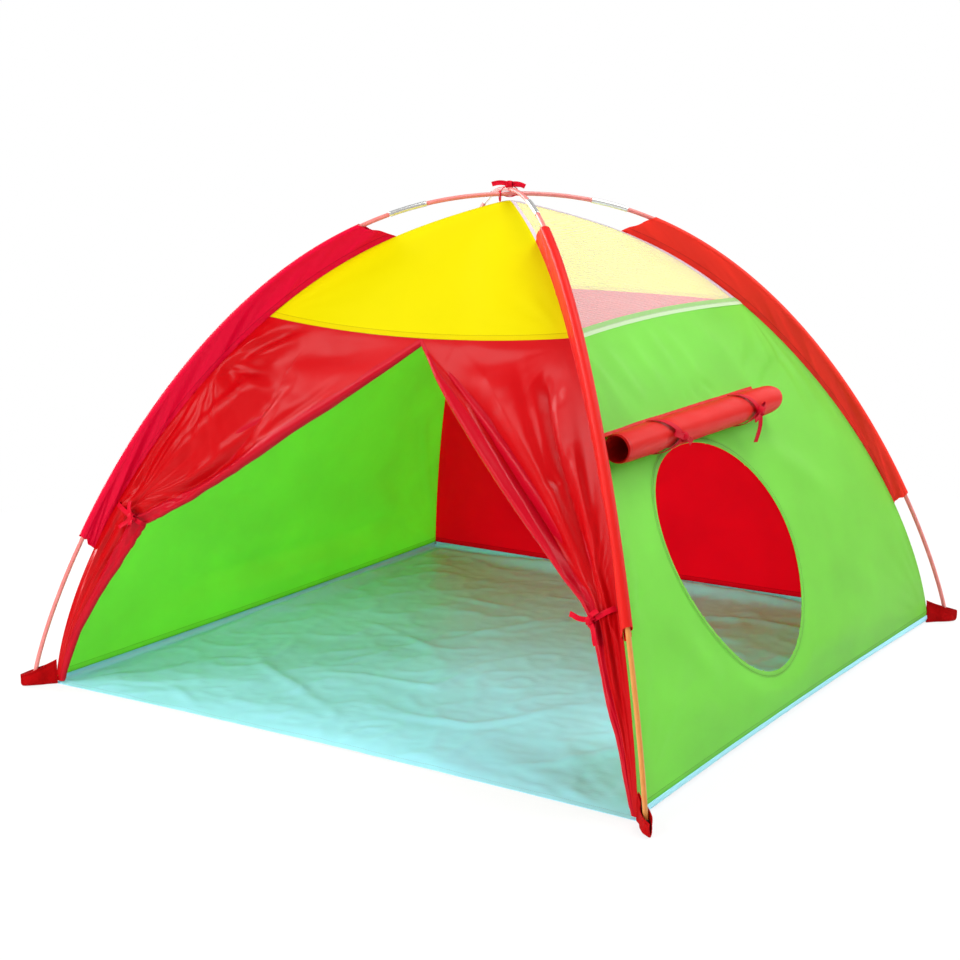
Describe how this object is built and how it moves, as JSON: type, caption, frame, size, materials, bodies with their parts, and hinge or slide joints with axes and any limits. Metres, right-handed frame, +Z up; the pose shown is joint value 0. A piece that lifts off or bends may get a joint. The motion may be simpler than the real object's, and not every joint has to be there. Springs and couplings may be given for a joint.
{
  "type": "play tent",
  "caption": "Square dome play tent for children: crossed shock-corded pole hoops in corner sleeves, mesh and solid roof, tied-back front door, oval side window with a rolled cover",
  "frame": {"origin": "middle of the floor, on its underside", "axes": "+Z up, the door faces -Y, the window is in the wall at +X"},
  "size_m": [1.2906, 1.2906, 0.8846],
  "materials": {
    "groundsheet_cloth": "smooth coated cloth",
    "green_cloth": "smooth woven nylon",
    "red_cloth": "smooth woven nylon with a sheen",
    "orange_red_cloth": "smooth woven nylon with a sheen",
    "yellow_cloth": "smooth woven nylon",
    "white_mesh": "fine open mesh",
    "pale_tape": "woven binding tape",
    "red_webbing": "woven webbing",
    "ribbon_red": "narrow ribbon",
    "pole_fibreglass": "pultruded glass fibre rod",
    "ferrule_metal": "drawn tube",
    "pole_tip_plastic": "moulded",
    "elastic_cord": "braided elastic"
  },
  "bodies": {
    "tent": {"apex_loop": "ribbon_red", "apex_tie": "ribbon_red", "back_left_corner_pocket": "red_webbing", "back_left_pole_sleeve": "red_cloth", "back_panel": "red_cloth", "back_right_corner_pocket": "red_webbing", "back_right_pole_sleeve": "orange_red_cloth", "back_roof_panel": "yellow_cloth", "front_left_corner_pocket": "red_webbing", "front_left_pole_sleeve": "red_cloth", "front_right_corner_pocket": "red_webbing", "front_right_pole_sleeve": "orange_red_cloth", "front_roof_panel": "yellow_cloth", "groundsheet": "groundsheet_cloth", "left_mesh_tape": "pale_tape", "left_roof_mesh": "white_mesh", "left_side_panel": "green_cloth", "pole_a_cap_1": "pole_tip_plastic", "pole_a_cap_2": "pole_tip_plastic", "pole_a_ferrule_1": "ferrule_metal", "pole_a_ferrule_2": "ferrule_metal", "pole_a_ferrule_3": "ferrule_metal", "pole_a_ferrule_4": "ferrule_metal", "pole_a_ferrule_5": "ferrule_metal", "pole_a_ferrule_6": "ferrule_metal", "pole_a_rod_1": "pole_fibreglass", "pole_a_rod_2": "pole_fibreglass", "pole_a_rod_3": "pole_fibreglass", "pole_a_rod_4": "pole_fibreglass", "pole_a_rod_5": "pole_fibreglass", "pole_a_rod_6": "pole_fibreglass", "pole_a_rod_7": "pole_fibreglass", "pole_a_shock_cord": "elastic_cord", "pole_b_cap_1": "pole_tip_plastic", "pole_b_cap_2": "pole_tip_plastic", "pole_b_ferrule_1": "ferrule_metal", "pole_b_ferrule_2": "ferrule_metal", "pole_b_ferrule_3": "ferrule_metal", "pole_b_ferrule_4": "ferrule_metal", "pole_b_ferrule_5": "ferrule_metal", "pole_b_ferrule_6": "ferrule_metal", "pole_b_rod_1": "pole_fibreglass", "pole_b_rod_2": "pole_fibreglass", "pole_b_rod_3": "pole_fibreglass", "pole_b_rod_4": "pole_fibreglass", "pole_b_rod_5": "pole_fibreglass", "pole_b_rod_6": "pole_fibreglass", "pole_b_rod_7": "pole_fibreglass", "pole_b_shock_cord": "elastic_cord", "right_mesh_tape": "pale_tape", "right_roof_mesh": "white_mesh", "right_side_panel": "green_cloth"},
    "left_flap": {"left_door_flap": "red_cloth", "left_door_flap_tie": "ribbon_red"},
    "right_flap": {"right_door_flap": "red_cloth", "right_door_flap_tie": "ribbon_red"},
    "window_cover": {"window_cover_roll": "orange_red_cloth", "window_cover_front_tie": "ribbon_red", "window_cover_back_tie": "ribbon_red"}
  },
  "joints": [
    {"name": "left_flap_swing", "type": "hinge", "parent": "tent", "child": "left_flap", "pos_m": [-0.51187, -0.51187, 0.32802], "axis": [-0.3665, -0.3665, -0.8552], "range_deg": [0, 20]},
    {"name": "right_flap_swing", "type": "hinge", "parent": "tent", "child": "right_flap", "pos_m": [0.51187, -0.51187, 0.32802], "axis": [-0.3665, 0.3665, 0.8552], "range_deg": [0, 20]},
    {"name": "window_cover_lift", "type": "hinge", "parent": "tent", "child": "window_cover", "pos_m": [0.41204, 0, 0.52019], "axis": [0, -1, 0], "range_deg": [0, 60]}
  ]
}
